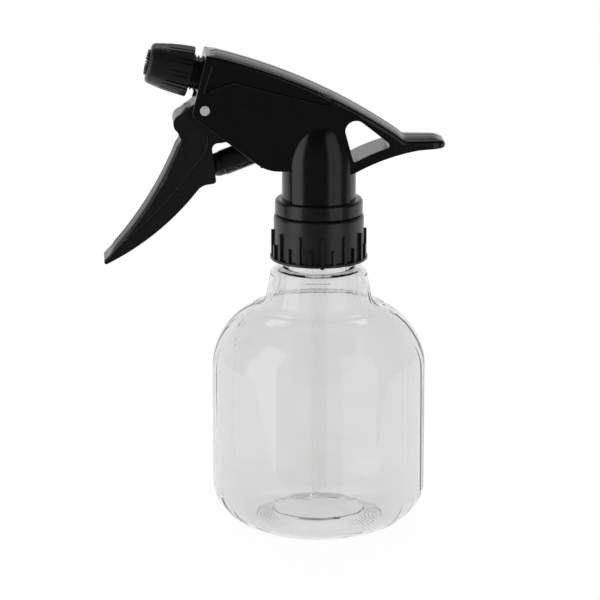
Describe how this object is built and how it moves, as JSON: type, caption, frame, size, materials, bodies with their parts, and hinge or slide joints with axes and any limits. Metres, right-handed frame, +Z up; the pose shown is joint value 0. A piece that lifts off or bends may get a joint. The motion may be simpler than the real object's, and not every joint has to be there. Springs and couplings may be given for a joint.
{
  "type": "trigger sprayer",
  "caption": "Hand mister: a clear round-shouldered bottle with a black ribbed screw closure, a finger trigger, a sloping cover with a tail and a turning adjustable nozzle.",
  "frame": {"origin": "centre of the bottle's foot ring, on the surface it stands on", "axes": "+Z up along the bottle, -X the way the nozzle sprays, +X towards the cover's tail, y = 0 the plane of symmetry"},
  "size_m": [0.1236, 0.078, 0.1795],
  "materials": {
    "clear_bottle": "clear moulded PET, smooth, with soft studio reflections",
    "black_plastic": "black injection-moulded polypropylene, satin gloss",
    "pale_plastic": "pale grey acetal, satin",
    "white_plastic": "natural white acetal, satin",
    "tube_plastic": "milky polyethylene tube",
    "soft_seal": "soft translucent sealing elastomer",
    "spring_steel": "drawn stainless wire",
    "ball_steel": "polished stainless ball"
  },
  "bodies": {
    "bottle": {"bottle": "clear_bottle"},
    "head": {"pump_body": "black_plastic", "shroud": "black_plastic", "trigger_pin": "pale_plastic", "cap_gasket": "soft_seal", "tube_retainer": "white_plastic", "dip_tube": "tube_plastic", "nozzle_spinner": "white_plastic", "return_spring": "spring_steel", "outlet_spring": "spring_steel"},
    "screw_cap": {"screw_cap": "black_plastic"},
    "trigger": {"trigger": "black_plastic"},
    "piston": {"piston": "black_plastic", "piston_front_seal": "soft_seal", "piston_back_seal": "soft_seal"},
    "nozzle_seal": {"nozzle_o_ring": "soft_seal"},
    "nozzle_cap": {"nozzle_cap": "black_plastic", "orifice_insert": "black_plastic"},
    "inlet_ball": {"inlet_ball": "ball_steel"},
    "outlet_ball": {"outlet_ball": "ball_steel"}
  },
  "joints": [
    {"name": "head_lift", "type": "slide", "parent": "bottle", "child": "head", "axis": [0, 0, 1], "range_m": [0, 0.00636]},
    {"name": "cap_turn", "type": "hinge", "parent": "head", "child": "screw_cap", "pos_m": [0, 0, 0.108], "axis": [0, 0, 1], "range_deg": [0, 722]},
    {"name": "trigger_pull", "type": "hinge", "parent": "head", "child": "trigger", "pos_m": [-0.0416, 0, 0.15665], "axis": [0, -1, 0], "range_deg": [0, 20], "stiffness_Nm_per_rad": 0.8, "springref_deg": -14.32},
    {"name": "piston_stroke", "type": "slide", "parent": "head", "child": "piston", "axis": [0.9367, 0, 0.3502], "range_m": [0, 0.0081], "deforming": ["return_spring"]},
    {"name": "nozzle_travel", "type": "slide", "parent": "head", "child": "nozzle_seal", "axis": [-0.9724, 0, 0.2334], "range_m": [0, 0.00125]},
    {"name": "nozzle_turn", "type": "hinge", "parent": "nozzle_seal", "child": "nozzle_cap", "pos_m": [-0.0464, 0, 0.16905], "axis": [-0.9724, 0, 0.2334], "range_deg": [0, 361]},
    {"name": "inlet_valve_lift", "type": "slide", "parent": "head", "child": "inlet_ball", "axis": [0, 0, 1], "range_m": [0, 0.00135]},
    {"name": "outlet_valve_lift", "type": "slide", "parent": "head", "child": "outlet_ball", "axis": [-0.9724, 0, 0.2334], "range_m": [0, 0.0012], "stiffness_N_per_m": 60, "springref_m": -0.001, "deforming": ["outlet_spring"]}
  ],
  "couplings": [
    {"joint": "cap_turn", "follows": "head_lift", "rad_per_m": 1975.8},
    {"joint": "piston_stroke", "follows": "trigger_pull", "m_per_rad": 0.022918},
    {"joint": "nozzle_turn", "follows": "nozzle_travel", "rad_per_m": 5026.5}
  ]
}
